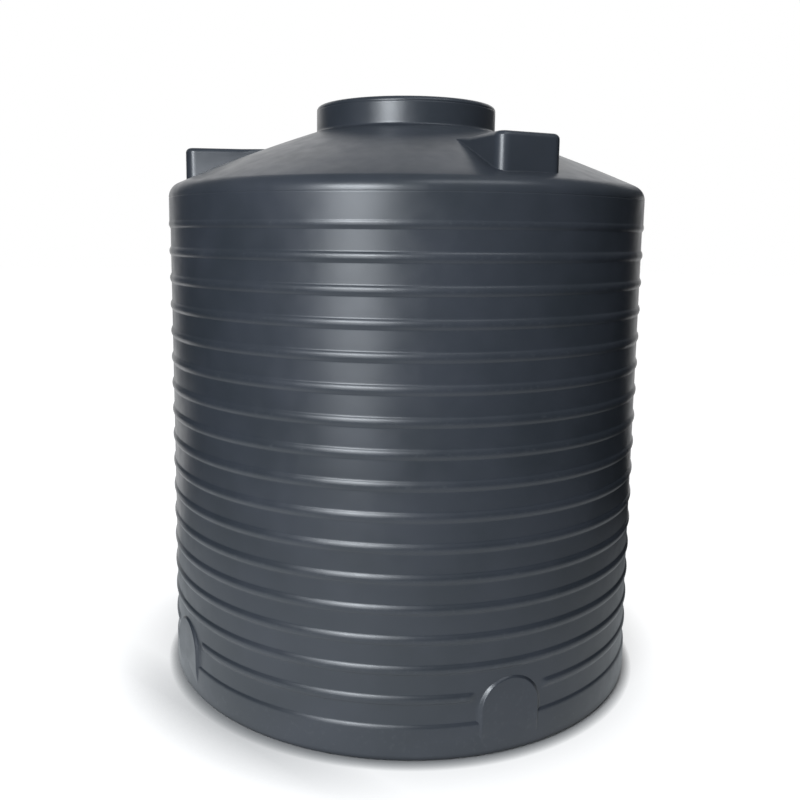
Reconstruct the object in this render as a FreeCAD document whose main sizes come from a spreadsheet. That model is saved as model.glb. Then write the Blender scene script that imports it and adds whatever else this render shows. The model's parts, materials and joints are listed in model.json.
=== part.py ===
import FreeCAD, Part
import os

import Sketcher

# Upright moulded tank: a ribbed round wall, a coned roof with three inlet bosses, an open
# manhole neck and four flat outlet pads low on the wall. Millimetres, +Z up, origin at the
# middle of the flat base. Azimuth 0 is the -Y side and turns towards +X.

SIZES = [
    # ribbed wall
    ("crest_radius", 910),
    ("wall_thickness", 8),
    ("bead_depth", 6),
    ("bead_half_width", 20),
    ("bead_crest_arc", 25),
    ("bead_pitch", 100),
    ("bead_count", 16),
    ("skirt_height", 115),
    ("base_arc", 30),
    ("band_depth", 2),
    ("band_height", 97),
    ("wall_segments", 16),
    # coned roof, slightly crowned, steepest at the shoulder
    ("shoulder_arc", 55),
    ("roof_slope", 24),
    ("roof_crown_arc", 6000),
    ("roof_segments", 12),
    # manhole neck
    ("neck_radius", 346),
    ("neck_height", 99.5),
    ("neck_foot_arc", 12),
    ("neck_foot_height", 14),
    ("rim_arc", 16),
    ("rim_lip", 30),
    # inlet bosses on the roof
    ("boss_count", 3),
    ("boss_azimuth", 4),
    ("boss_spacing", 123),
    ("boss_width", 244),
    ("boss_inset", 70),
    ("boss_rise", 122),
    ("boss_taper", 6),
    ("boss_corner_arc", 45),
    ("boss_edge_arc", 24),
    # outlet pads on the wall
    ("pad_width", 222),
    ("pad_top", 272),
    ("pad_lift", 15),
    ("pad_depth", 24),
    ("pad_edge_arc", 9),
    ("pad_pair_angle", 83.4),
]

doc = FreeCAD.newDocument("plastic_tank")
sheet = doc.addObject("Spreadsheet::Sheet", "Sizes")
for row, (alias, value) in enumerate(SIZES, start=1):
    sheet.set("A%d" % row, alias)
    sheet.set("B%d" % row, str(value))
    sheet.setAlias("B%d" % row, alias)
doc.recompute()

# Places that several pieces share, as expressions on the sheet
CREST = "Sizes.crest_radius"
THICK = "Sizes.wall_thickness"
WALL = f"({CREST} - Sizes.bead_depth)"
BAND = f"({CREST} - Sizes.band_depth)"
FLOOR_RIM = f"({CREST} - Sizes.base_arc)"
SKIRT_TOP = "Sizes.skirt_height"
FIRST_BEAD = f"({SKIRT_TOP} + Sizes.bead_pitch)"
TOP_BEAD = f"({SKIRT_TOP} + Sizes.bead_pitch * Sizes.bead_count)"
PARTING = f"({TOP_BEAD} + Sizes.band_height)"

# A bead's section is an S: a crest arc and two foot arcs, all turning through one angle
HALF_WIDTH = "Sizes.bead_half_width"
CREST_ARC = "Sizes.bead_crest_arc"
TURN = f"(2 * atan(Sizes.bead_depth / {HALF_WIDTH}))"
FOOT_ARC = f"({HALF_WIDTH} / sin({TURN}) - {CREST_ARC})"
CREST_CENTRE = f"({CREST} - {CREST_ARC})"
FOOT_CENTRE = f"({WALL} + {FOOT_ARC})"

# The roof's outer line: shoulder arc, crown arc and the neck's foot arc, each tangent to the next
SLOPE = "Sizes.roof_slope"
SHOULDER = "Sizes.shoulder_arc"
SHOULDER_CENTRE = f"({BAND} - {SHOULDER})"
CROWN = "Sizes.roof_crown_arc"
CROWN_CENTRE = f"({SHOULDER_CENTRE} - ({CROWN} - {SHOULDER}) * sin({SLOPE}))"
CROWN_HEIGHT = f"({PARTING} - ({CROWN} - {SHOULDER}) * cos({SLOPE}))"
NECK = "Sizes.neck_radius"
NECK_ARC = "Sizes.neck_foot_arc"
NECK_ARC_CENTRE = f"({NECK} + {NECK_ARC})"
NECK_ARC_RISE = f"sqrt(({CROWN} + {NECK_ARC})^2 - ({NECK_ARC_CENTRE} - {CROWN_CENTRE})^2)"
NECK_ARC_HEIGHT = f"({CROWN_HEIGHT} + {NECK_ARC_RISE})"

# Heights on the neck, from where the crown arc would meet the neck's outside
NECK_FOOT = f"({CROWN_HEIGHT} + sqrt({CROWN}^2 - ({NECK} - {CROWN_CENTRE})^2))"
NECK_SEAM = f"({NECK_FOOT} + Sizes.neck_foot_height)"
NECK_TOP = f"({NECK_FOOT} + Sizes.neck_height)"
RIM = "Sizes.rim_arc"
MANHOLE = f"({NECK} - {RIM} - Sizes.rim_lip)"

# A boss rises from the crown arc at its outer face, and its flat top runs in to where it meets that arc
BOSS_REACH = f"({CREST} - Sizes.boss_inset)"
BOSS_FOOT = f"({CROWN_HEIGHT} + sqrt({CROWN}^2 - ({BOSS_REACH} - {CROWN_CENTRE})^2))"
BOSS_TOP = f"({BOSS_FOOT} + Sizes.boss_rise)"
BOSS_END = f"({CROWN_CENTRE} + sqrt({CROWN}^2 - ({BOSS_TOP} - {CROWN_HEIGHT})^2))"

PAD_BACK = f"({CREST} - Sizes.pad_depth)"
PAD_FOOT = "(Sizes.base_arc + Sizes.pad_lift)"

# The pads' azimuths: a pair in front and the same pair turned half round
PADS = ["0", "-Sizes.pad_pair_angle", "180", "(180 - Sizes.pad_pair_angle)"]

# The wall's seams are turned so that every pad sits well inside one segment
WALL_TURN = "(90 - Sizes.pad_pair_angle) / 2"

# How close two places count as the same
NEAR = 0.01

UP = FreeCAD.Vector(0, 0, 1)


def number(expression):
    """The value of an expression on the sheet."""
    result = sheet.evalExpression(expression)
    return float(getattr(result, "Value", result))


def new_body(name):
    body = doc.addObject("PartDesign::Body", name)
    body.Label = name
    return body


def new_sketch(body, name, role="XZ_Plane"):
    """A sketch on one of the body's own origin planes."""
    sketch = body.newObject("Sketcher::SketchObject", name)
    plane = next(item for item in body.Origin.OriginFeatures if item.Role == role)
    sketch.AttachmentSupport = [(plane, "")]
    sketch.MapMode = "FlatFace"
    return sketch


def bound(sketch, constraint, expression):
    """Adds a constraint whose value follows the sheet."""
    index = sketch.addConstraint(constraint)
    sketch.setExpression(f"Constraints[{index}]", expression)


def draw(sketch, outline):
    """Draws a closed outline. Each entry is a corner (x, y), as expressions, and how the edge
    leaves it: None for a line, or the arc's centre (x, y), radius and turning side."""
    corners = [FreeCAD.Vector(number(x), number(y), 0) for (x, y), _ in outline]
    count = len(outline)
    for index, ((x, y), edge) in enumerate(outline):
        start = corners[index]
        end = corners[(index + 1) % count]
        if edge is None:
            sketch.addGeometry(Part.LineSegment(start, end), False)
            continue
        (centre_x, centre_y), radius, side = edge
        centre = FreeCAD.Vector(number(centre_x), number(centre_y), 0)
        first, last = (start, end) if side == "left" else (end, start)
        circle = Part.Circle(centre, UP, number(radius))
        arc = Part.ArcOfCircle(circle, circle.parameter(first), circle.parameter(last))
        sketch.addGeometry(arc, False)

    def end_points(index):
        edge = outline[index][1]
        return (1, 2) if edge is None or edge[2] == "left" else (2, 1)

    for index, ((x, y), edge) in enumerate(outline):
        start, end = end_points(index)
        following = (index + 1) % count
        join = Sketcher.Constraint("Coincident", index, end, following, end_points(following)[0])
        sketch.addConstraint(join)
        corner = corners[index]
        bound(sketch, Sketcher.Constraint("DistanceX", -1, 1, index, start, corner.x), x)
        bound(sketch, Sketcher.Constraint("DistanceY", -1, 1, index, start, corner.y), y)
        if edge is not None:
            radius = edge[1]
            bound(sketch, Sketcher.Constraint("Radius", index, number(radius)), radius)


def revolve(body, sketch, kind, name, angle):
    """Turns a section about the tank's axis, evenly to both sides of the section's plane."""
    feature = body.newObject(kind, name)
    feature.Profile = sketch
    feature.ReferenceAxis = (sketch, ["V_Axis"])
    feature.Midplane = True
    feature.setExpression("Angle", angle)
    feature.Refine = False
    body.Tip = feature
    return feature


def stack(body, feature, name):
    """Repeats a bead up the wall."""
    pattern = body.newObject("PartDesign::LinearPattern", name)
    pattern.Originals = [feature]
    pattern.Direction = (feature.Profile[0], ["V_Axis"])
    pattern.setExpression("Length", "Sizes.bead_pitch * (Sizes.bead_count - 1)")
    pattern.setExpression("Occurrences", "Sizes.bead_count")
    pattern.Refine = False
    body.Tip = pattern
    return pattern


def turned_copy(master, name, azimuth):
    """A piece like the master, which faces +X, turned to face an azimuth."""
    piece = doc.addObject("Part::Refine", name)
    piece.Label = name
    piece.Source = master
    piece.Placement = FreeCAD.Placement(FreeCAD.Vector(), FreeCAD.Rotation(UP, 1))
    piece.setExpression("Placement.Rotation.Angle", f"{azimuth} - 90")
    return piece


def s_corner(level, sign, inset):
    """Where a bead's crest arc meets its foot arc, inset from the outside of the wall."""
    radius = f"({CREST_ARC} - {inset})"
    return (f"{CREST_CENTRE} + {radius} * cos({TURN})", f"{level} {sign} {radius} * sin({TURN})")


def wall_outline():
    """The plain wall: base arc, skirt with a bead's upper half on top, ribbed wall, top band."""
    skirt_end = f"({SKIRT_TOP} + {HALF_WIDTH})"
    base = (FLOOR_RIM, "Sizes.base_arc")
    crest = (CREST_CENTRE, SKIRT_TOP)
    foot = (FOOT_CENTRE, skirt_end)
    return [
        ((FLOOR_RIM, "0"), (base, "Sizes.base_arc", "left")),
        ((CREST, "Sizes.base_arc"), None),
        ((CREST, SKIRT_TOP), (crest, CREST_ARC, "left")),
        (s_corner(SKIRT_TOP, "+", "0"), (foot, FOOT_ARC, "right")),
        ((WALL, skirt_end), None),
        ((WALL, TOP_BEAD), None),
        ((BAND, TOP_BEAD), None),
        ((BAND, PARTING), None),
        ((f"{BAND} - {THICK}", PARTING), None),
        ((f"{BAND} - {THICK}", TOP_BEAD), None),
        ((f"{WALL} - {THICK}", TOP_BEAD), None),
        ((f"{WALL} - {THICK}", skirt_end), (foot, f"{FOOT_ARC} + {THICK}", "left")),
        (s_corner(SKIRT_TOP, "+", THICK), (crest, f"{CREST_ARC} - {THICK}", "right")),
        ((f"{CREST} - {THICK}", SKIRT_TOP), None),
        ((f"{CREST} - {THICK}", "Sizes.base_arc"), (base, f"Sizes.base_arc - {THICK}", "right")),
        ((FLOOR_RIM, THICK), None),
    ]


def bead_outline(inset, back):
    """The first bead, as the section added outside (inset 0) or cut from the inside."""
    low = f"({FIRST_BEAD} - {HALF_WIDTH})"
    high = f"({FIRST_BEAD} + {HALF_WIDTH})"
    face = f"({WALL} - {inset})"
    foot_arc = f"({FOOT_ARC} + {inset})"
    crest_arc = f"({CREST_ARC} - {inset})"
    return [
        ((f"{face} - {back}", low), None),
        ((face, low), ((FOOT_CENTRE, low), foot_arc, "right")),
        (s_corner(FIRST_BEAD, "-", inset), ((CREST_CENTRE, FIRST_BEAD), crest_arc, "left")),
        (s_corner(FIRST_BEAD, "+", inset), ((FOOT_CENTRE, high), foot_arc, "right")),
        ((face, high), None),
        ((f"{face} - {back}", high), None),
    ]


def arch_outline(inset):
    """An outlet pad's outline: straight sides and a half-round top, inset all round."""
    half = f"(Sizes.pad_width / 2 - {inset})"
    foot = f"({PAD_FOOT} + {inset})"
    spring = "(Sizes.pad_top - Sizes.pad_width / 2)"
    return [
        ((f"-{half}", foot), None),
        ((half, foot), None),
        ((half, spring), (("0", spring), half, "left")),
        (("0", f"{spring} + {half}"), (("0", spring), half, "left")),
        ((f"-{half}", spring), None),
    ]


def shoulder_end(inset):
    """Where the shoulder arc meets the crown arc, inset from the outside of the roof."""
    radius = f"({SHOULDER} - {inset})"
    return (f"{SHOULDER_CENTRE} + {radius} * sin({SLOPE})", f"{PARTING} + {radius} * cos({SLOPE})")


def crown_end(inset):
    """Where the crown arc meets the neck's foot arc, inset from the outside of the roof."""
    share = f"({CROWN} - {inset}) / ({CROWN} + {NECK_ARC})"
    return (f"{CROWN_CENTRE} + {share} * ({NECK_ARC_CENTRE} - {CROWN_CENTRE})",
            f"{CROWN_HEIGHT} + {share} * {NECK_ARC_RISE}")


def roof_outline():
    """Shoulder, crowned cone and the neck's foot, as one wall of even thickness."""
    shoulder = (SHOULDER_CENTRE, PARTING)
    crown = (CROWN_CENTRE, CROWN_HEIGHT)
    foot = (NECK_ARC_CENTRE, NECK_ARC_HEIGHT)
    return [
        ((BAND, PARTING), (shoulder, SHOULDER, "left")),
        (shoulder_end("0"), (crown, CROWN, "left")),
        (crown_end("0"), (foot, NECK_ARC, "right")),
        ((NECK, NECK_ARC_HEIGHT), None),
        ((NECK, NECK_SEAM), None),
        ((f"{NECK} - {THICK}", NECK_SEAM), None),
        ((f"{NECK} - {THICK}", NECK_ARC_HEIGHT), (foot, f"{NECK_ARC} + {THICK}", "left")),
        (crown_end(THICK), (crown, f"{CROWN} - {THICK}", "right")),
        (shoulder_end(THICK), (shoulder, f"{SHOULDER} - {THICK}", "right")),
        ((f"{BAND} - {THICK}", PARTING), None),
    ]


def roof_form_outline():
    """Everything under the roof's outer surface, to trim the bosses to the roof."""
    return roof_outline()[:5] + [(("0", NECK_SEAM), None), (("0", PARTING), None)]


def neck_outline():
    """The neck above its seam, with a round rim turned in to the manhole."""
    rim = (f"{NECK} - {RIM}", f"{NECK_TOP} - {RIM}")
    return [
        ((NECK, NECK_SEAM), None),
        ((NECK, f"{NECK_TOP} - {RIM}"), (rim, RIM, "left")),
        ((f"{NECK} - {RIM}", NECK_TOP), None),
        ((MANHOLE, NECK_TOP), None),
        ((MANHOLE, f"{NECK_TOP} - {THICK}"), None),
        ((f"{NECK} - {RIM}", f"{NECK_TOP} - {THICK}"), (rim, f"{RIM} - {THICK}", "right")),
        ((f"{NECK} - {THICK}", f"{NECK_TOP} - {RIM}"), None),
        ((f"{NECK} - {THICK}", NECK_SEAM), None),
    ]


def boss_outline(inset):
    """A boss from above: a straight outer face, round corners and sides that taper in under the roof."""
    taper = "Sizes.boss_taper"
    arc = f"(Sizes.boss_corner_arc - {inset})"
    reach = f"({BOSS_REACH} - {inset})"
    centre = f"({BOSS_REACH} - Sizes.boss_corner_arc)"
    side = f"(Sizes.boss_width / 2 - Sizes.boss_corner_arc * (1 + sin({taper})) / cos({taper}))"
    turn = f"({centre} - {arc} * sin({taper}))"
    half = f"({side} + {arc} * cos({taper}))"
    back = f"({half} - ({turn} - {NECK}) * tan({taper}))"
    return [
        ((NECK, f"-{back}"), None),
        ((turn, f"-{half}"), ((centre, f"-{side}"), arc, "left")),
        ((reach, f"-{side}"), None),
        ((reach, side), ((centre, side), arc, "left")),
        ((turn, half), None),
        ((NECK, back), None),
    ]


def floor_piece():
    body = new_body("floor")
    sketch = new_sketch(body, "floor_outline", "XY_Plane")
    sketch.addGeometry(Part.Circle(FreeCAD.Vector(), UP, number(FLOOR_RIM)), False)
    sketch.addConstraint(Sketcher.Constraint("Coincident", 0, 3, -1, 1))
    bound(sketch, Sketcher.Constraint("Radius", 0, number(FLOOR_RIM)), FLOOR_RIM)
    disc = body.newObject("PartDesign::Pad", "floor_disc")
    disc.Profile = sketch
    disc.setExpression("Length", THICK)
    body.Tip = disc
    return body


def wall_master():
    """One upright segment of the ribbed wall, of even thickness."""
    turn = "360 / Sizes.wall_segments"
    body = new_body("wall_master")
    section = new_sketch(body, "wall_section")
    draw(section, wall_outline())
    revolve(body, section, "PartDesign::Revolution", "wall_plain", turn)
    bead_section = new_sketch(body, "bead_section")
    draw(bead_section, bead_outline("0", f"{THICK} / 2"))
    bead = revolve(body, bead_section, "PartDesign::Revolution", "bead", turn)
    stack(body, bead, "beads")
    hollow_section = new_sketch(body, "hollow_section")
    draw(hollow_section, bead_outline(THICK, "1"))
    hollow = revolve(body, hollow_section, "PartDesign::Groove", "hollow", turn)
    stack(body, hollow, "hollows")
    return body


def roof_master():
    body = new_body("roof_master")
    section = new_sketch(body, "roof_section")
    draw(section, roof_outline())
    revolve(body, section, "PartDesign::Revolution", "roof_shell", "360 / Sizes.roof_segments")
    return body


def neck_piece():
    body = new_body("manhole_neck")
    section = new_sketch(body, "neck_section")
    draw(section, neck_outline())
    revolve(body, section, "PartDesign::Revolution", "neck_ring", "360")
    return body


def boss_block(name, inset):
    """A boss's whole block, or with an inset of the wall's thickness the space inside it."""
    body = new_body(name)
    outline = new_sketch(body, f"{name}_outline", "XY_Plane")
    outline.setExpression("AttachmentOffset.Base.z", PARTING)
    draw(outline, boss_outline(inset))
    pad = body.newObject("PartDesign::Pad", f"{name}_pad")
    pad.Profile = outline
    pad.setExpression("Length", f"{BOSS_TOP} - {PARTING} - {inset}")
    body.Tip = pad
    doc.recompute()
    top = number(f"{BOSS_TOP} - {inset}")
    rim = [f"Edge{order}" for order, edge in enumerate(pad.Shape.Edges, start=1)
           if abs(edge.BoundBox.ZMin - top) < NEAR]
    rounding = body.newObject("PartDesign::Fillet", f"{name}_rounding")
    rounding.Base = (pad, rim)
    rounding.setExpression("Radius", f"Sizes.boss_edge_arc - {inset}")
    body.Tip = rounding
    return body


def boss_master(core):
    """A raised flat-topped boss, hollow like the rest of the moulding, trimmed to the roof."""
    form = new_body("roof_form")
    section = new_sketch(form, "roof_form_section")
    draw(section, roof_form_outline())
    revolve(form, section, "PartDesign::Revolution", "roof_form_solid", "360")
    walls = doc.addObject("Part::Cut", "boss_walls")
    walls.Base = boss_block("boss_block", "0")
    walls.Tool = core
    boss = doc.addObject("Part::Cut", "boss_master")
    boss.Base = walls
    boss.Tool = form
    return boss


def pad_master():
    """A flat arched pad, hollow behind like the rest of the moulding."""
    body = new_body("pad_master")
    outline = new_sketch(body, "pad_outline", "YZ_Plane")
    outline.setExpression("AttachmentOffset.Base.z", PAD_BACK)
    draw(outline, arch_outline("0"))
    block = body.newObject("PartDesign::Pad", "pad_block")
    block.Profile = outline
    block.setExpression("Length", "Sizes.pad_depth")
    body.Tip = block
    doc.recompute()
    face = number(CREST)
    foot = number(PAD_FOOT)
    rim = [f"Edge{order}" for order, edge in enumerate(block.Shape.Edges, start=1)
           if abs(edge.BoundBox.XMin - face) < NEAR and edge.BoundBox.ZMax > foot + NEAR]
    rounding = body.newObject("PartDesign::Fillet", "pad_rounding")
    rounding.Base = (block, rim)
    rounding.setExpression("Radius", "Sizes.pad_edge_arc")
    body.Tip = rounding
    doc.recompute()
    inside = new_sketch(body, "pad_inside_outline", "YZ_Plane")
    inside.setExpression("AttachmentOffset.Base.z", PAD_BACK)
    draw(inside, arch_outline(THICK))
    hollow = body.newObject("PartDesign::Pocket", "pad_hollow")
    hollow.Profile = inside
    hollow.Reversed = True
    hollow.setExpression("Length", f"Sizes.pad_depth - {THICK}")
    body.Tip = hollow
    return body


def window_master():
    """What the wall loses where a pad sits: the pad's outline, right through the wall."""
    body = new_body("window_master")
    outline = new_sketch(body, "window_outline", "YZ_Plane")
    outline.setExpression("AttachmentOffset.Base.z", PAD_BACK)
    draw(outline, arch_outline("0"))
    block = body.newObject("PartDesign::Pad", "window_block")
    block.Profile = outline
    block.setExpression("Length", "2 * Sizes.pad_depth")
    body.Tip = block
    return body


def segments(name, master, count, turn, openings, half_angle):
    """Copies of a master all round the tank, each less the openings that reach into it."""
    step = 360 / number(count)
    made = []
    for index in range(int(number(count))):
        azimuth = f"{turn} + {index} * 360 / {count}"
        label = f"{name}_segment_{index + 1:02d}"
        near = [opening for opening, place in openings
                if abs((number(place) - number(azimuth) + 180) % 360 - 180) < step / 2 + half_angle]
        piece = turned_copy(master, label + "_whole" if near else label, azimuth)
        for opening in near:
            whole = piece
            piece = doc.addObject("Part::Cut", label)
            piece.Base = whole
            piece.Tool = opening
        piece.Label = label
        made.append(piece)
    return made


boss_azimuths = [f"Sizes.boss_azimuth + {index} * Sizes.boss_spacing"
                 for index in range(int(number("Sizes.boss_count")))]

pieces = [floor_piece(), neck_piece()]

window = window_master()
windows = [(turned_copy(window, f"window_{order}", azimuth), azimuth)
           for order, azimuth in enumerate(PADS, start=1)]
pad_half_angle = number(f"asin(Sizes.pad_width / 2 / {WALL})")
pieces += segments("wall", wall_master(), "Sizes.wall_segments", WALL_TURN, windows, pad_half_angle)

core = boss_block("boss_core", THICK)
cores = [(turned_copy(core, f"boss_inside_{order}", azimuth), azimuth)
         for order, azimuth in enumerate(boss_azimuths, start=1)]
boss_half_angle = number(f"asin(Sizes.boss_width / 2 / {BOSS_END})")
pieces += segments("roof", roof_master(), "Sizes.roof_segments", "Sizes.boss_azimuth", cores,
                   boss_half_angle)

boss = boss_master(core)
for order, azimuth in enumerate(boss_azimuths, start=1):
    pieces.append(turned_copy(boss, f"inlet_boss_{order}", azimuth))

pad = pad_master()
for order, azimuth in enumerate(PADS, start=1):
    pieces.append(turned_copy(pad, f"outlet_pad_{order}", azimuth))

doc.recompute()

for item in doc.Objects:
    if "Invalid" in item.State or "Error" in item.State:
        raise RuntimeError(f"{item.Label} did not build: {item.State}")
for piece in pieces:
    if piece.Shape.isNull() or not piece.Shape.isValid() or len(piece.Shape.Solids) != 1:
        raise RuntimeError(f"{piece.Label} is not one valid solid")

os.makedirs("parts", exist_ok=True)
for piece in pieces:
    piece.Shape.exportStep(f"parts/{piece.Label}.step")
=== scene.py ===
import json
import math

import bmesh
import bpy
from mathutils import Matrix, Vector


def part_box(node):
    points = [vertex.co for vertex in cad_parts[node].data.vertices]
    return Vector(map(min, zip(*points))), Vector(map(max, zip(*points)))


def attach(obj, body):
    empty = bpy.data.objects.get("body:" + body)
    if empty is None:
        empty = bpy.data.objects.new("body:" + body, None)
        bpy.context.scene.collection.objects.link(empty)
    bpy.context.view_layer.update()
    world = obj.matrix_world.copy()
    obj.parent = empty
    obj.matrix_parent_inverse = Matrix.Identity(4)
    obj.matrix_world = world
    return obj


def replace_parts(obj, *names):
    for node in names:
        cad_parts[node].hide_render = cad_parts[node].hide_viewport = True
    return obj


# Upright moulded tank: one seamless ribbed shell with flat arched outlet pads, a crowned roof with
# raised bosses and an open manhole neck. Metres, +Z up. Azimuth 0 is the -Y side and turns to +X.

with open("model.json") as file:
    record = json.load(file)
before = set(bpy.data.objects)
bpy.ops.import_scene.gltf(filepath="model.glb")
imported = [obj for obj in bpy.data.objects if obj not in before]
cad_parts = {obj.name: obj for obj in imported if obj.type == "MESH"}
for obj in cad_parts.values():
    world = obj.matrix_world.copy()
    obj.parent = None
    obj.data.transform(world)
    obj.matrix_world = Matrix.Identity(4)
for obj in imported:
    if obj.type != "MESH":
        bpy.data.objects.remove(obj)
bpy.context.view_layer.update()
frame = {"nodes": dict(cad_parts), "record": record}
nodes = frame["nodes"]
mounts = {mount["name"]: mount for mount in frame["record"]["mounts"]}


def named(prefix):
    """The CAD nodes whose names start alike."""
    return sorted(name for name in nodes if name.startswith(prefix))


def reach(node):
    """The largest distance of a CAD node from the tank's axis."""
    return max(math.hypot(vertex.co.x, vertex.co.y) for vertex in nodes[node].data.vertices)


def mount_azimuths(prefix):
    """Which way the mounts face whose names start alike."""
    places = [mount["pos_m"] for name, mount in sorted(mounts.items()) if name.startswith(prefix)]
    return [math.atan2(x, -y) for x, y, _ in places]


# Sizes that the frame gives
CREST = reach("wall_segment_02")
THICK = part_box("floor")[1].z
FLOOR_RIM = reach("floor")
BASE_ARC = CREST - FLOOR_RIM
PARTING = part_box("wall_segment_02")[1].z
NECK = reach("manhole_neck")
NECK_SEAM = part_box("manhole_neck")[0].z
NECK_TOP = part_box("manhole_neck")[1].z
MANHOLE = mounts["manhole"]["dims"]["r_mm"] / 1000
BOSS_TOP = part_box("inlet_boss_1")[1].z
BOSS_REACH = math.hypot(*mounts["inlet_face_1"]["pos_m"][:2])
BOSSES = mount_azimuths("inlet_face")
PAD_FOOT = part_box("outlet_pad_1")[0].z
PAD_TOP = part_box("outlet_pad_1")[1].z
PAD_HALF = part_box("outlet_pad_1")[1].x
PADS = mount_azimuths("outlet_face")

# The moulding's section, as in the solids
BEAD_PITCH = 0.100
BEAD_COUNT = 16
BEAD_DEPTH = 0.006
BEAD_HALF_WIDTH = 0.020
BEAD_CREST_ARC = 0.025
BAND_DEPTH = 0.002
BAND_HEIGHT = 0.097
SHOULDER_ARC = 0.055
ROOF_SLOPE = math.radians(24)
CROWN_ARC = 6.0
NECK_FOOT_ARC = 0.012
RIM_ARC = 0.016
BOSS_HALF = 0.122
BOSS_TAPER = math.radians(6)

# Edges and hollows where pieces of the shell meet, finer than in the solids
BOSS_CORNER_ARC = 0.034
BOSS_EDGE_ARC = 0.018
BOSS_EDGE_HOLD = 0.15 * BOSS_EDGE_ARC
BOSS_EDGE_PART = 2
BOSS_FOOT_ARC = 0.004
BOSS_FOOT_PART = 2.5
BOSS_SINK = THICK / 20
PAD_INSET = 0.010
PAD_ROUND = 0.005
PAD_SLANT = 0.0045
PAD_HOLLOW = 0.004
PAD_APRON = 0.018
PAD_RIM_SLOPE = math.tan(math.radians(50))
PAD_APRON_SLOPE = 0.4
BEAD_END = 0.008
BEAD_RUN_OUT = 0.030
PAD_FADE = 0.075
PAD_SINK = 0.0004
GROOVE_DEPTH = 0.0009
GROOVE_HALF = 0.0018
GROOVE_FLAT = GROOVE_HALF / 4

# How near its edges a flat stretch is held flat, how close together points become one, and how
# many beads the base ring takes
HOLD = 0.003
MERGE = 1e-6
BASE_BEADS = 2

# How finely the round forms are divided
ROUND = 192
BASE_STEPS = 6
WALL_STEPS = 5
ROOF_STEPS = 8
NECK_STEPS = 8
RUN_OUT_STEPS = 6
PAD_SIDE_STEPS = 24
PAD_ARCH_STEPS = 72
PAD_RIM_STEPS = 5
BOSS_SIDE_STEPS = 40
BOSS_CORNER_STEPS = 10
BOSS_FRONT_STEPS = 12
BOSS_EDGE_STEPS = 8
BOSS_FOOT_STEPS = 6

# Places that follow from those sizes
WALL = CREST - BEAD_DEPTH
BAND = CREST - BAND_DEPTH
TOP_BEAD = PARTING - BAND_HEIGHT
SKIRT_TOP = TOP_BEAD - BEAD_PITCH * BEAD_COUNT
JOINT = SKIRT_TOP + BEAD_PITCH * (BASE_BEADS + 0.5)
TURN = 2 * math.atan(BEAD_DEPTH / BEAD_HALF_WIDTH)
FOOT_ARC = BEAD_HALF_WIDTH / math.sin(TURN) - BEAD_CREST_ARC
BAND_TURN = math.acos(1 - BAND_DEPTH / (BEAD_CREST_ARC + FOOT_ARC))
BAND_FOOT = (BEAD_CREST_ARC + FOOT_ARC) * math.sin(BAND_TURN)
SHOULDER_CENTRE = BAND - SHOULDER_ARC
CROWN_CENTRE = SHOULDER_CENTRE - (CROWN_ARC - SHOULDER_ARC) * math.sin(ROOF_SLOPE)
CROWN_HEIGHT = PARTING - (CROWN_ARC - SHOULDER_ARC) * math.cos(ROOF_SLOPE)
NECK_ARC_CENTRE = NECK + NECK_FOOT_ARC
NECK_ARC_RISE = math.sqrt((CROWN_ARC + NECK_FOOT_ARC) ** 2 - (NECK_ARC_CENTRE - CROWN_CENTRE) ** 2)
CROWN_END = math.atan2(NECK_ARC_RISE, NECK_ARC_CENTRE - CROWN_CENTRE)
PAD_SPRING = PAD_TOP - PAD_HALF
QUARTER = math.pi / 2
SHARP = QUARTER * 2 / 3


def arc(centre, radius, start, end, steps):
    """Points of an arc in the shell's section, between two angles from outwards, up positive."""
    angles = [start + (end - start) * step / steps for step in range(steps + 1)]
    return [(centre[0] + radius * math.cos(a), centre[1] + radius * math.sin(a)) for a in angles]


def smooth(share):
    """An even S from 0 to 1."""
    share = min(max(share, 0.0), 1.0)
    return share * share * (3 - 2 * share)


def bead_lower(level, inset, steps):
    """From the wall out to a bead's crest, going up."""
    foot = (WALL + FOOT_ARC, level - BEAD_HALF_WIDTH)
    crest = (CREST - BEAD_CREST_ARC, level)
    return (arc(foot, FOOT_ARC + inset, math.pi, math.pi - TURN, steps)
            + arc(crest, BEAD_CREST_ARC - inset, -TURN, 0, steps)[1:])


def bead_upper(level, inset, steps):
    """From a bead's crest back to the wall, going up."""
    foot = (WALL + FOOT_ARC, level + BEAD_HALF_WIDTH)
    crest = (CREST - BEAD_CREST_ARC, level)
    return (arc(crest, BEAD_CREST_ARC - inset, 0, TURN, steps)[1:]
            + arc(foot, FOOT_ARC + inset, math.pi + TURN, math.pi, steps)[1:])


def band_step(inset, steps):
    """From the top bead's crest to the plain band above it."""
    foot = (BAND + FOOT_ARC, TOP_BEAD + BAND_FOOT)
    crest = (CREST - BEAD_CREST_ARC, TOP_BEAD)
    return (arc(crest, BEAD_CREST_ARC - inset, 0, BAND_TURN, steps)[1:]
            + arc(foot, FOOT_ARC + inset, math.pi + BAND_TURN, math.pi, steps)[1:])


def beads(first, last, inset, steps):
    """Whole beads, one above the other, with the flat wall held close to each."""
    line = []
    for order in range(first, last + 1):
        level = SKIRT_TOP + BEAD_PITCH * order
        line.append((WALL - inset, level - BEAD_HALF_WIDTH - HOLD))
        line += bead_lower(level, inset, steps) + bead_upper(level, inset, steps)
        line.append((WALL - inset, level + BEAD_HALF_WIDTH + HOLD))
    return line


def groove(radius, level):
    """A fine moulding line across an upright wall, going up."""
    bottom = radius - GROOVE_DEPTH
    return [(radius, level - GROOVE_HALF - HOLD), (radius, level - GROOVE_HALF),
            (bottom, level - GROOVE_FLAT), (bottom, level + GROOVE_FLAT), (radius, level + GROOVE_HALF)]


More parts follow.
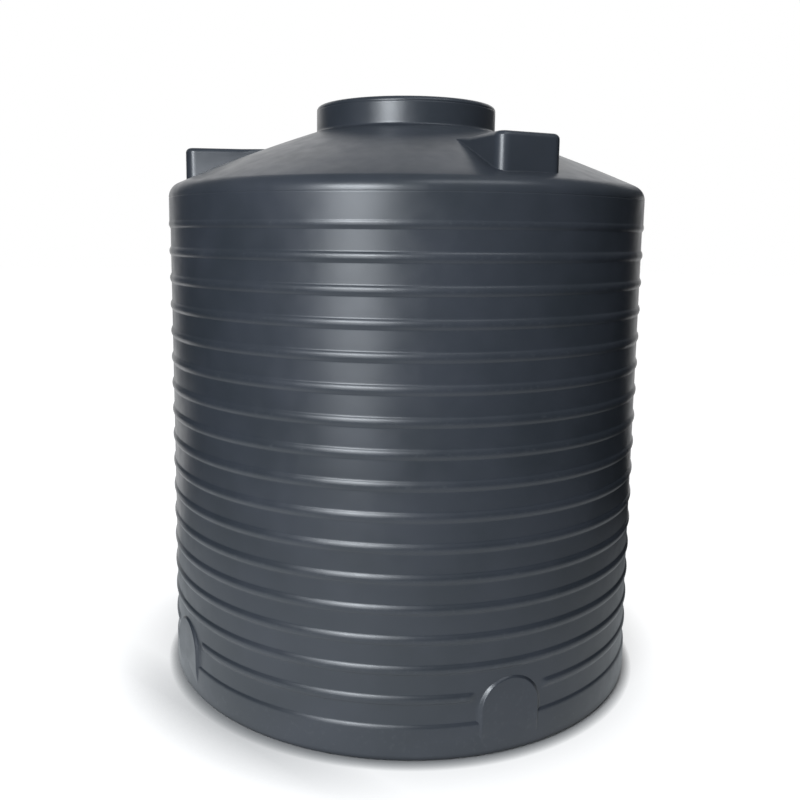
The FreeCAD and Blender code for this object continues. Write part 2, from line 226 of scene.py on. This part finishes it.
def wall_line(inset, steps):
    """The ribbed wall above the base ring, going up."""
    line = [(WALL - inset, JOINT)]
    line += beads(BASE_BEADS + 1, BEAD_COUNT - 1, inset, steps)
    line += bead_lower(TOP_BEAD, inset, steps) + band_step(inset, steps)
    line.append((BAND - inset, TOP_BEAD + BAND_FOOT + HOLD))
    if inset == 0:
        line += groove(BAND, PARTING - GROOVE_HALF)
    else:
        line.append((BAND - inset, PARTING))
    return line


def base_line(inset, steps):
    """The base ring: base arc, skirt and the lowest beads, going up."""
    line = arc((FLOOR_RIM, BASE_ARC), BASE_ARC - inset, -QUARTER, 0, 2 * steps)
    line.append((CREST - inset, SKIRT_TOP))
    line += bead_upper(SKIRT_TOP, inset, steps)
    line += beads(1, BASE_BEADS, inset, steps)
    line.append((WALL - inset, JOINT))
    return line


def roof_line(inset, steps):
    """Shoulder, crowned cone and the neck's foot, going up."""
    line = arc((SHOULDER_CENTRE, PARTING), SHOULDER_ARC - inset, 0, QUARTER - ROOF_SLOPE, 2 * steps)
    crown = (CROWN_CENTRE, CROWN_HEIGHT)
    line += arc(crown, CROWN_ARC - inset, QUARTER - ROOF_SLOPE, CROWN_END, 3 * steps)[1:]
    foot = (NECK_ARC_CENTRE, CROWN_HEIGHT + NECK_ARC_RISE)
    line += arc(foot, NECK_FOOT_ARC + inset, math.pi + CROWN_END, math.pi, steps)[1:]
    line.append((NECK - inset, NECK_SEAM))
    return line


def neck_line(inset, steps):
    """The neck's wall and its rim, turned in to the manhole."""
    line = [(NECK - inset, NECK_SEAM)]
    if inset == 0:
        line += groove(NECK, NECK_TOP - RIM_ARC - GROOVE_HALF)
    line += arc((NECK - RIM_ARC, NECK_TOP - RIM_ARC), RIM_ARC - inset, 0, QUARTER, steps)
    line.append((MANHOLE, NECK_TOP - inset))
    return line


def round_columns(count):
    """Even azimuths all round the tank."""
    return [2 * math.pi * step / count for step in range(count)]


def pad_columns():
    """Azimuths all round the tank, closer together where the lowest beads run out beside the pads."""
    asides = [PAD_HALF + BEAD_END + BEAD_RUN_OUT * step / RUN_OUT_STEPS
              for step in range(RUN_OUT_STEPS + 1)]
    extra = [pad + side * math.asin(aside / CREST)
             for pad in PADS for aside in asides for side in (-1, 1)]
    return sorted(azimuth % (2 * math.pi) for azimuth in round_columns(ROUND) + extra)


def beside_pads(radius, height, azimuth):
    """The wall's radius, with the beads run out beside the pads, on the outside only."""
    if radius < WALL or not SKIRT_TOP + BEAD_PITCH / 2 < height < PAD_TOP:
        return radius
    for pad in PADS:
        if math.cos(azimuth - pad) > 0:
            aside = CREST * abs(math.sin(azimuth - pad))
            radius = WALL + (radius - WALL) * smooth((aside - PAD_HALF - BEAD_END) / BEAD_RUN_OUT)
    return radius


def place(radius, azimuth, height):
    """A point at a distance from the tank's axis."""
    return (radius * math.sin(azimuth), -radius * math.cos(azimuth), height)


def new_object(name, points, faces, material):
    """A smooth-shaded piece of the tank that moves with its one body."""
    mesh = bpy.data.meshes.new(name)
    mesh.from_pydata(points, [], faces)
    joined = bmesh.new()
    joined.from_mesh(mesh)
    bmesh.ops.remove_doubles(joined, verts=joined.verts, dist=MERGE)
    joined.to_mesh(mesh)
    joined.free()
    mesh.polygons.foreach_set("use_smooth", [True] * len(mesh.polygons))
    mesh.set_sharp_from_angle(angle=SHARP)
    mesh.materials.append(material)
    piece = bpy.data.objects.new(name, mesh)
    bpy.context.scene.collection.objects.link(piece)
    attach(piece, "root")
    return piece


def turned(name, section, columns, material, radius_at):
    """A closed section turned about the tank's axis."""
    points = [place(radius_at(radius, height, azimuth), azimuth, height)
              for radius, height in section for azimuth in columns]
    rows = len(section)
    width = len(columns)
    faces = []
    for row in range(rows):
        above = (row + 1) % rows
        for column in range(width):
            beside = (column + 1) % width
            faces.append((row * width + column, row * width + beside,
                          above * width + beside, above * width + column))
    return new_object(name, points, faces, material)


def even(radius, height, azimuth):
    """The same radius all round."""
    return radius


def shell(name, line, steps, columns, material, radius_at=even):
    """An even wall between a line and the same line inset by the wall's thickness."""
    section = line(0, steps) + line(THICK, max(2, steps // 2))[::-1]
    return turned(name, section, columns, material, radius_at)


def sheet(name, azimuth, sections, material):
    """A sheet through sections of equal length, given in a frame with +x outwards at an azimuth."""
    width = len(sections[0])
    points = []
    for section in sections:
        for x, y, z in section:
            points.append((x * math.sin(azimuth) + y * math.cos(azimuth),
                           -x * math.cos(azimuth) + y * math.sin(azimuth), z))
    faces = []
    for row in range(len(sections) - 1):
        for column in range(width - 1):
            corner = row * width + column
            faces.append((corner, corner + 1, corner + width + 1, corner + width))
    return new_object(name, points, faces, material)


def pad_outline(side_steps, arch_steps):
    """A pad's outline on its flat face, over the arch from side to side: points and outward normals."""
    side = []
    for step in range(side_steps):
        height = PAD_FOOT + (PAD_SPRING - PAD_FOOT) * step / side_steps
        side.append(((PAD_HALF, height), (1.0, 0.0)))
    arch = arc((0, PAD_SPRING), PAD_HALF, 0, math.pi, arch_steps)
    over = [((y, z), (y / PAD_HALF, (z - PAD_SPRING) / PAD_HALF)) for y, z in arch]
    other = [((-y, z), (-ny, nz)) for (y, z), (ny, nz) in side[::-1]]
    return side + over + other


def pad_rim(steps):
    """A pad's rim as distances past the flat face and drops below it: round, slant, hollow and apron."""
    stretches = ((PAD_ROUND, 0, PAD_RIM_SLOPE), (PAD_SLANT, PAD_RIM_SLOPE, PAD_RIM_SLOPE),
                 (PAD_HOLLOW, PAD_RIM_SLOPE, PAD_APRON_SLOPE),
                 (PAD_APRON, PAD_APRON_SLOPE, PAD_APRON_SLOPE))
    line = [(-HOLD, 0.0), (0.0, 0.0)]
    for length, start, end in stretches:
        past, drop = line[-1]
        for step in range(1, steps + 1):
            run = length * step / steps
            line.append((past + run, drop + run * start + (end - start) * run ** 2 / (2 * length)))
    return line


def pad_section(spot, normal, rim):
    """One section of a pad, from its middle over the rim and down into the wall."""
    y, z = spot
    flat = [(0.0, min(z, PAD_SPRING), 0.0)]
    for past, drop in rim:
        out = past - PAD_INSET
        flat.append((y + normal[0] * out, z + normal[1] * out, drop))
    section = []
    for aside, height, drop in flat:
        skirt = math.sqrt(CREST ** 2 - aside ** 2) - PAD_SINK
        share = smooth((height - PAD_FOOT) / PAD_FADE)
        section.append((skirt + share * (CREST - drop - skirt), aside, height))
    return section


def pad(name, azimuth, material):
    """A flat arched pad with a sloped rim, which fades into the skirt at its foot."""
    rim = pad_rim(PAD_RIM_STEPS)
    outline = pad_outline(PAD_SIDE_STEPS, PAD_ARCH_STEPS)
    sections = [pad_section(spot, normal, rim) for spot, normal in outline]
    return sheet(name, azimuth, sections, material)


def roof_height(radius):
    """The height of the crowned cone's outside."""
    return CROWN_HEIGHT + math.sqrt(CROWN_ARC ** 2 - (radius - CROWN_CENTRE) ** 2)


def boss_outline(side_steps, corner_steps, front_steps):
    """A boss's outline from above, in its own frame with +x outwards: points and outward normals."""
    corner = BOSS_REACH - BOSS_CORNER_ARC
    flank = BOSS_HALF - BOSS_CORNER_ARC * (1 + math.sin(BOSS_TAPER)) / math.cos(BOSS_TAPER)
    side = (-math.sin(BOSS_TAPER), -math.cos(BOSS_TAPER))
    turn = (corner + BOSS_CORNER_ARC * side[0], -flank + BOSS_CORNER_ARC * side[1])
    end = CROWN_CENTRE + math.sqrt(CROWN_ARC ** 2 - (BOSS_TOP - CROWN_HEIGHT) ** 2)
    inward = (side[1], -side[0])
    along = turn[0] * inward[0] + turn[1] * inward[1]
    length = -along - math.sqrt(along ** 2 - turn[0] ** 2 - turn[1] ** 2 + end ** 2)
    half = []
    for step in range(side_steps):
        back = length * (1 - step / side_steps)
        half.append(((turn[0] + inward[0] * back, turn[1] + inward[1] * back), side))
    for step in range(corner_steps + 1):
        angle = -(QUARTER + BOSS_TAPER) * (1 - step / corner_steps)
        normal = (math.cos(angle), math.sin(angle))
        spot = (corner + BOSS_CORNER_ARC * normal[0], -flank + BOSS_CORNER_ARC * normal[1])
        half.append((spot, normal))
    for step in range(1, front_steps + 1):
        half.append(((BOSS_REACH, -flank + flank * step / front_steps), (1.0, 0.0)))
    other = [((x, -y), (nx, -ny)) for (x, y), (nx, ny) in half[-2::-1]]
    return half + other


def boss_section(spot, normal):
    """One section of a boss, from its top down to the roof, as points in the boss's own frame."""
    x, y = spot

    def roof_at(out):
        return roof_height(math.hypot(x + normal[0] * out, y + normal[1] * out))

    roof = roof_at(0)
    rise = max(BOSS_TOP - roof, 0.0)
    edge = min(BOSS_EDGE_ARC, rise / BOSS_EDGE_PART)
    foot = min(BOSS_FOOT_ARC, rise / BOSS_FOOT_PART)
    fall = math.atan((roof_at(BOSS_FOOT_ARC) - roof) / BOSS_FOOT_ARC)
    foot_height = roof + foot * (math.tan(fall) + 1 / math.cos(fall))
    line = [(-edge - BOSS_EDGE_HOLD, BOSS_TOP)]
    line += arc((-edge, BOSS_TOP - edge), edge, QUARTER, 0, BOSS_EDGE_STEPS)
    line += arc((foot, foot_height), foot, math.pi, QUARTER * 3 + fall, BOSS_FOOT_STEPS)
    beyond = line[-1][0] + foot / 2
    line.append((beyond, roof_at(beyond) - BOSS_SINK))
    spine = (min(x, BOSS_REACH - BOSS_HALF), 0.0, BOSS_TOP)
    return [spine] + [(x + normal[0] * out, y + normal[1] * out, height) for out, height in line]


def boss(name, azimuth, material):
    """A raised boss whose top edge, corners and foot are all rounded."""
    outline = boss_outline(BOSS_SIDE_STEPS, BOSS_CORNER_STEPS, BOSS_FRONT_STEPS)
    sections = [boss_section(spot, normal) for spot, normal in outline]
    return sheet(name, azimuth, sections, material)


# Material

SLATE = (0.020, 0.024, 0.030, 1)
SLATE_PALE = (0.026, 0.030, 0.038, 1)
SCUFF = (0.055, 0.060, 0.067, 1)

# Noise that varies the plastic, and ranges of noise with what they turn into
MOTTLE = {"scale": 4, "detail": 3}
MOTTLE_RANGE = (0.35, 0.65, 0, 1)
RUBBING = {"scale": 60, "detail": 6}
RUBBING_RANGE = (0.56, 0.72, 0, 0.3)
SHEEN = {"scale": 18, "detail": 5}
SHEEN_RANGE = (0.3, 0.7, 0.30, 0.37)
WAVES = {"scale": 7, "detail": 2}
WAVE_STRENGTH = 0.25
WAVE_DEPTH = 0.002
PEEL = {"scale": 330, "detail": 3}
PEEL_STRENGTH = 0.12
PEEL_DEPTH = 0.0006
PROUD_DEPTH = BEAD_DEPTH / 3

# The mix node's sockets for colours
MIX_FIRST = 6
MIX_SECOND = 7
MIX_RESULT = 2


def add(tree, kind, links=(), **values):
    """A shader node with some of its inputs set and others linked."""
    item = tree.nodes.new(kind)
    for key, value in values.items():
        if hasattr(item, key):
            setattr(item, key, value)
        else:
            item.inputs[key.replace("_", " ")].default_value = value
    for key, output in links:
        tree.links.new(output, item.inputs[key])
    return item


def noise(tree, where, scale, detail):
    """Even noise in space."""
    item = add(tree, "ShaderNodeTexNoise", [("Vector", where)], Scale=scale, Detail=detail)
    return item.outputs["Fac"]


def ranged(tree, value, low, high, to_low, to_high):
    """A value's range turned into another."""
    item = add(tree, "ShaderNodeMapRange", [("Value", value)])
    limits = {"From Min": low, "From Max": high, "To Min": to_low, "To Max": to_high}
    for key, number in limits.items():
        item.inputs[key].default_value = number
    return item.outputs["Result"]


def mixed(tree, share, first, second):
    """A colour between two, each a colour or another node's output."""
    item = add(tree, "ShaderNodeMix", [("Factor", share)], data_type="RGBA")
    for slot, colour in ((MIX_FIRST, first), (MIX_SECOND, second)):
        if isinstance(colour, tuple):
            item.inputs[slot].default_value = colour
        else:
            tree.links.new(colour, item.inputs[slot])
    return item.outputs[MIX_RESULT]


def tank_plastic():
    """Dark moulded polyethylene: satin, finely peeled, faintly mottled, scuffed where it stands out."""
    material = bpy.data.materials.new("tank_plastic")
    material.use_nodes = True
    tree = material.node_tree
    surface = tree.nodes["Principled BSDF"]
    where = add(tree, "ShaderNodeTexCoord").outputs["Object"]
    mottle = ranged(tree, noise(tree, where, **MOTTLE), *MOTTLE_RANGE)
    colour = mixed(tree, mottle, SLATE, SLATE_PALE)
    flat = add(tree, "ShaderNodeVectorMath", [(0, where)], operation="MULTIPLY")
    flat.inputs[1].default_value = (1, 1, 0)
    axis_distance = add(tree, "ShaderNodeVectorMath", [(0, flat.outputs[0])], operation="LENGTH")
    proud = ranged(tree, axis_distance.outputs["Value"], CREST - PROUD_DEPTH, CREST, 0, 1)
    rubbed = ranged(tree, noise(tree, where, **RUBBING), *RUBBING_RANGE)
    scuffs = add(tree, "ShaderNodeMath", [(0, proud), (1, rubbed)], operation="MULTIPLY").outputs[0]
    tree.links.new(mixed(tree, scuffs, colour, SCUFF), surface.inputs["Base Color"])
    sheen = ranged(tree, noise(tree, where, **SHEEN), *SHEEN_RANGE)
    tree.links.new(sheen, surface.inputs["Roughness"])
    waves = add(tree, "ShaderNodeBump", [("Height", noise(tree, where, **WAVES))],
                Strength=WAVE_STRENGTH, Distance=WAVE_DEPTH)
    peel = add(tree, "ShaderNodeBump",
               [("Height", noise(tree, where, **PEEL)), ("Normal", waves.outputs[0])],
               Strength=PEEL_STRENGTH, Distance=PEEL_DEPTH)
    tree.links.new(peel.outputs[0], surface.inputs["Normal"])
    return material


# The tank

plastic = tank_plastic()
base = shell("tank_base", base_line, BASE_STEPS, pad_columns(), plastic, beside_pads)
wall = shell("tank_wall", wall_line, WALL_STEPS, round_columns(ROUND), plastic)
roof = shell("tank_roof", roof_line, ROOF_STEPS, round_columns(ROUND), plastic)
neck = shell("tank_neck", neck_line, NECK_STEPS, round_columns(ROUND), plastic)
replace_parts(base, *named("wall_segment"))
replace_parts(wall, *named("wall_segment"))
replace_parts(roof, *named("roof_segment"))
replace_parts(neck, "manhole_neck")
for order, azimuth in enumerate(BOSSES, start=1):
    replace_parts(boss(f"tank_boss_{order}", azimuth, plastic), f"inlet_boss_{order}")
for order, azimuth in enumerate(PADS, start=1):
    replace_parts(pad(f"tank_pad_{order}", azimuth, plastic), f"outlet_pad_{order}")
nodes["floor"].data.materials.clear()
nodes["floor"].data.materials.append(plastic)

# Stage: the camera's place, turn and framing

CAMERA_AZIMUTH = math.radians(-23.8)
CAMERA_DISTANCE = 3.5003
CAMERA_HEIGHT = 1.6796
CAMERA_PITCH = math.radians(7.853)
CAMERA_ROLL = math.radians(0.543)
CAMERA_YAW = math.radians(-1.868)
LENS = 39.235
SHIFT = (0.0321, -0.0557)

# The floor, with the tank's real shadow and a painted shadow in its glow round the tank's foot, darkest
# towards one side
STAGE_RADIUS = 40.0
STAGE_SIDES = 64
FLOOR_WHITE = (0.3, 0.3, 0.3, 1)
FLOOR_GREY = (0.40, 0.40, 0.41, 1)
FLOOR_NEAR = 1.5
FLOOR_FAR = 5.0
FLOOR_LIFT = 0.85
# Reach, side and strength of the painted shadow in the floor's glow
FLOOR_OCCLUSION = 0.28
FLOOR_CONTACT = 0.043
CONTACT_POWER = 3.0
SHADE_TURN = math.radians(-40)
SHADE_FROM = 0.78
SHADE_TO = 0.95
SHADE_LEAST = 0.40

# The white studio and the grey light that it gives
WORLD_WHITE = (1, 1, 1, 1)
WORLD_GREY = (0.10, 0.11, 0.12, 1)

# The room in front of the tank, which only reflections see; its faint glow and the glow of pale paper on
# its floor, dimmer further out, are painted reflections on the tank, and a dark flag stands past its
# right end;
# azimuths are from the camera's
ROOM_TINT = (0.90, 0.96, 1.0, 1)
ROOM_FRONT = 0.16
ROOM_SIDE = 0.01
ROOM_LEFT = math.radians(-132)
ROOM_RIGHT = math.radians(136)
ROOM_STEPS = 48
ROOM_RADIUS = 6.5
ROOM_HEIGHT = 7.0
ROOM_BACK = 4.8
ROOM_UPPER = 0.12
ROOM_UPPER_FROM = 2.0
ROOM_UPPER_TO = 5.0
ROOM_LOW = 0.002
PAPER_EDGE = 0.895
PAPER_DARK_TO = 0.94
PAPER_LEFT = math.radians(-118)
PAPER_GLOW = 1.2
PAPER_TURN = math.radians(-25)
PAPER_ASIDE = 1.5
PAPER_NEAR = 0.4
PAPER_FAR = 4.0
RING_FROM = 1.8
RING_TO = 2.6
RING_LEAST = 0.7
FLAG_END = math.radians(153)
FLAG_LOW = 2.45
FLAG_TOP = 3.6

# Soft lamps: degrees aside of the camera, distance from the tank's axis, and watts
COOL = (0.90, 0.95, 1.0)
LAMPS = {
    "key_light": {"turn": -20.5, "distance": 6.3, "height": 3.75, "size": (2.5, 2.3),
                  "power": 490, "aim_height": 1.6},
    "low_light": {"turn": -20, "distance": 6.3, "height": 1.33, "size": (2.4, 2.55),
                  "power": 112, "aim_height": 1.33},
    "fill_light": {"turn": 36, "distance": 3.2, "height": 5.5, "size": (3.6, 1.2),
                   "power": 45, "aim_height": 1.8},
    "top_light": {"turn": 128, "distance": 1.2, "height": 5.2, "size": (2.0, 2.0),
                  "power": 140, "aim_height": 0.0},
}


def white_to_eye(tree):
    """1 for camera, glossy and transmission rays, so that they see a white studio."""
    path = add(tree, "ShaderNodeLightPath").outputs
    either = add(tree, "ShaderNodeMath", [(0, path["Is Camera Ray"]), (1, path["Is Glossy Ray"])],
                 operation="MAXIMUM").outputs[0]
    return add(tree, "ShaderNodeMath", [(0, either), (1, path["Is Transmission Ray"])],
               operation="MAXIMUM").outputs[0]


def stage_world():
    """White to the eye, with a low grey light."""
    world = bpy.data.worlds.new("studio")
    world.use_nodes = True
    tree = world.node_tree
    background = tree.nodes["Background"]
    tree.links.new(mixed(tree, white_to_eye(tree), WORLD_GREY, WORLD_WHITE), background.inputs["Color"])
    bpy.context.scene.world = world


def stage_object(name, points, faces, material):
    """A part of the studio, not of the tank."""
    mesh = bpy.data.meshes.new(name)
    mesh.from_pydata(points, [], faces)
    mesh.materials.append(material)
    item = bpy.data.objects.new(name, mesh)
    bpy.context.scene.collection.objects.link(item)
    return item


def stage_floor():
    """A white floor that runs into the white behind it, with the tank's shadow partly real and partly
    painted in its glow.
    """
    material = bpy.data.materials.new("floor_paper")
    material.use_nodes = True
    tree = material.node_tree
    tree.nodes.remove(tree.nodes["Principled BSDF"])
    eye = white_to_eye(tree)
    paper = add(tree, "ShaderNodeBsdfDiffuse", [("Color", mixed(tree, eye, FLOOR_GREY, FLOOR_WHITE))])
    where = add(tree, "ShaderNodeTexCoord").outputs["Object"]
    distance = add(tree, "ShaderNodeVectorMath", [(0, where)], operation="LENGTH").outputs["Value"]
    lift = ranged(tree, distance, FLOOR_NEAR, FLOOR_FAR, FLOOR_LIFT, 1)
    # Painted shadow: the glow, a little weaker near the tank, is dimmed by occlusion round its foot,
    # more so towards one side, and most at the contact
    open_sky = add(tree, "ShaderNodeAmbientOcclusion", Distance=FLOOR_OCCLUSION).outputs["AO"]
    darker = add(tree, "ShaderNodeMath", [(0, open_sky), (1, open_sky)], operation="MULTIPLY").outputs[0]
    aside = add(tree, "ShaderNodeVectorMath", [(0, where)], operation="DOT_PRODUCT")
    aside.inputs[1].default_value = place(1, CAMERA_AZIMUTH + SHADE_TURN, 0)
    painted_shade_weight = ranged(tree, aside.outputs["Value"], SHADE_FROM, SHADE_TO, SHADE_LEAST, 1)
    loss = add(tree, "ShaderNodeMath", [(0, darker)], operation="SUBTRACT")
    loss.inputs[1].default_value = 1
    shade = add(tree, "ShaderNodeMath", [(0, painted_shade_weight), (1, loss.outputs[0])], operation="MULTIPLY_ADD")
    shade.inputs[2].default_value = 1
    touch = add(tree, "ShaderNodeAmbientOcclusion", Distance=FLOOR_CONTACT).outputs["AO"]
    core = add(tree, "ShaderNodeMath", [(0, touch)], operation="POWER")
    core.inputs[1].default_value = CONTACT_POWER
    painted_shadow = add(tree, "ShaderNodeMath", [(0, shade.outputs[0]), (1, core.outputs[0])],
               operation="MULTIPLY").outputs[0]
    seen = add(tree, "ShaderNodeMath", [(0, lift), (1, painted_shadow)], operation="MULTIPLY").outputs[0]
    strength = add(tree, "ShaderNodeMath", [(0, seen), (1, eye)], operation="MULTIPLY").outputs[0]
    glow = add(tree, "ShaderNodeEmission", [("Strength", strength)])
    both = add(tree, "ShaderNodeAddShader", [(0, paper.outputs[0]), (1, glow.outputs[0])])
    tree.links.new(both.outputs[0], tree.nodes["Material Output"].inputs["Surface"])
    rim = [place(STAGE_RADIUS, azimuth, 0) for azimuth in round_columns(STAGE_SIDES)]
    stage_object("floor_paper", rim, [tuple(range(len(rim)))], material)


def softbox(name, turn, distance, height, size, power, aim_height):
    """A soft rectangular lamp that faces the tank's axis, so many degrees aside of the camera."""
    light = bpy.data.lights.new(name, "AREA")
    light.shape = "RECTANGLE"
    light.size, light.size_y = size
    light.energy = power
    lamp = bpy.data.objects.new(name, light)
    lamp.location = place(distance, CAMERA_AZIMUTH + math.radians(turn), height)
    ahead = Vector((0, 0, aim_height)) - lamp.location
    lamp.rotation_euler = ahead.to_track_quat("-Z", "Y").to_euler()
    bpy.context.scene.collection.objects.link(lamp)
    return lamp


def dark_room():
    """The room round the set, open behind the tank, which only reflections see; its glow paints
    reflections on the tank.
    """
    material = bpy.data.materials.new("dark_room")
    material.use_nodes = True
    tree = material.node_tree
    tree.nodes.remove(tree.nodes["Principled BSDF"])
    where = add(tree, "ShaderNodeTexCoord").outputs["Object"]
    # Painted reflections: the walls glow most straight ahead and more higher up; the paper glows most
    # near a point in front of the tank and to the left, less further out and not at all right by the
    # tank
    ahead = add(tree, "ShaderNodeVectorMath", [(0, where)], operation="DOT_PRODUCT")
    ahead.inputs[1].default_value = place(1, CAMERA_AZIMUTH, 0)
    walls = ranged(tree, ahead.outputs["Value"], 0, ROOM_RADIUS, ROOM_SIDE, ROOM_FRONT)
    near = add(tree, "ShaderNodeVectorMath", [(0, where)], operation="DISTANCE")
    near.inputs[1].default_value = place(PAPER_ASIDE, CAMERA_AZIMUTH + PAPER_TURN, 0)
    paper = ranged(tree, near.outputs["Value"], PAPER_NEAR, PAPER_FAR, PAPER_GLOW, 0)
    height = add(tree, "ShaderNodeSeparateXYZ", [("Vector", where)]).outputs["Z"]
    upper = ranged(tree, height, ROOM_UPPER_FROM, ROOM_UPPER_TO, 0, ROOM_UPPER)
    axis_distance = add(tree, "ShaderNodeVectorMath", [(0, where)], operation="LENGTH").outputs["Value"]
    ring = ranged(tree, axis_distance, RING_FROM, RING_TO, 1, RING_LEAST)
    dark = ranged(tree, axis_distance, PAPER_EDGE, PAPER_DARK_TO, 0, 1)
    lit = add(tree, "ShaderNodeMath", [(0, paper), (1, dark)], operation="MULTIPLY").outputs[0]
    both = add(tree, "ShaderNodeMath", [(0, lit), (1, ring), (2, walls)], operation="MULTIPLY_ADD")
    strength = add(tree, "ShaderNodeMath", [(0, both.outputs[0]), (1, upper)], operation="ADD")
    dim = add(tree, "ShaderNodeEmission", [("Strength", strength.outputs[0])], Color=ROOM_TINT)
    tree.links.new(dim.outputs[0], tree.nodes["Material Output"].inputs["Surface"])

    # Each step adds the paper's inner and outer edge and the wall's lower and upper edge
    points = []
    row = 4
    for step in range(ROOM_STEPS + 1):
        on_floor = CAMERA_AZIMUTH + PAPER_LEFT + (ROOM_RIGHT - PAPER_LEFT) * step / ROOM_STEPS
        on_wall = CAMERA_AZIMUTH + ROOM_LEFT + (ROOM_RIGHT - ROOM_LEFT) * step / ROOM_STEPS
        points += [place(PAPER_EDGE, on_floor, ROOM_LOW), place(ROOM_RADIUS, on_floor, ROOM_LOW),
                   place(ROOM_RADIUS, on_wall, ROOM_LOW), place(ROOM_RADIUS, on_wall, ROOM_HEIGHT)]
    faces = [(k, k + row, k + row + 1, k + 1) for k in range(0, len(points) - row, 2)]
    ceiling = list(range(row - 1, len(points), row))
    for turn in (ROOM_RIGHT, ROOM_LEFT):
        ceiling.append(len(points))
        aside = ROOM_RADIUS * math.sin(turn)
        behind = CAMERA_AZIMUTH + math.atan2(aside, -ROOM_BACK)
        points.append(place(math.hypot(ROOM_BACK, aside), behind, ROOM_HEIGHT))
    faces.append(tuple(ceiling))
    flag = len(points)
    for turn in (ROOM_RIGHT, FLAG_END):
        points += [place(ROOM_RADIUS, CAMERA_AZIMUTH + turn, level) for level in (FLAG_LOW, FLAG_TOP)]
    faces.append((flag, flag + 2, flag + 3, flag + 1))
    room = stage_object("dark_room", points, faces, material)
    room.visible_camera = False
    room.visible_diffuse = False
    room.visible_shadow = False
    room.visible_transmission = False


def stage_camera():
    """The camera at the photograph's place, turn and framing."""
    along = Vector((math.cos(CAMERA_AZIMUTH), math.sin(CAMERA_AZIMUTH), 0))
    inward = Vector((-math.sin(CAMERA_AZIMUTH), math.cos(CAMERA_AZIMUTH), 0))
    up = Vector((0, 0, 1))
    ahead = along * math.sin(CAMERA_YAW) + inward * math.cos(CAMERA_YAW)
    forward = ahead * math.cos(CAMERA_PITCH) - up * math.sin(CAMERA_PITCH)
    right = along * math.cos(CAMERA_YAW) - inward * math.sin(CAMERA_YAW)
    top = ahead * math.sin(CAMERA_PITCH) + up * math.cos(CAMERA_PITCH)
    tilted_right = right * math.cos(CAMERA_ROLL) + top * math.sin(CAMERA_ROLL)
    tilted_top = top * math.cos(CAMERA_ROLL) - right * math.sin(CAMERA_ROLL)
    lens = bpy.data.cameras.new("camera")
    lens.lens = LENS
    lens.shift_x, lens.shift_y = SHIFT
    lens.clip_end = 3 * STAGE_RADIUS
    camera = bpy.data.objects.new("camera", lens)
    turn = Matrix((tilted_right, tilted_top, -forward)).transposed().to_4x4()
    stand = place(CAMERA_DISTANCE, CAMERA_AZIMUTH, CAMERA_HEIGHT)
    camera.matrix_world = Matrix.Translation(stand) @ turn
    bpy.context.scene.collection.objects.link(camera)
    bpy.context.scene.camera = camera


stage_world()
stage_floor()
lamps = {name: softbox(name, **lamp) for name, lamp in LAMPS.items()}
for name in ("key_light", "low_light", "fill_light"):
    lamps[name].data.color = COOL
lamps["top_light"].visible_glossy = False
dark_room()
stage_camera()
bpy.context.scene.view_settings.view_transform = "Standard"
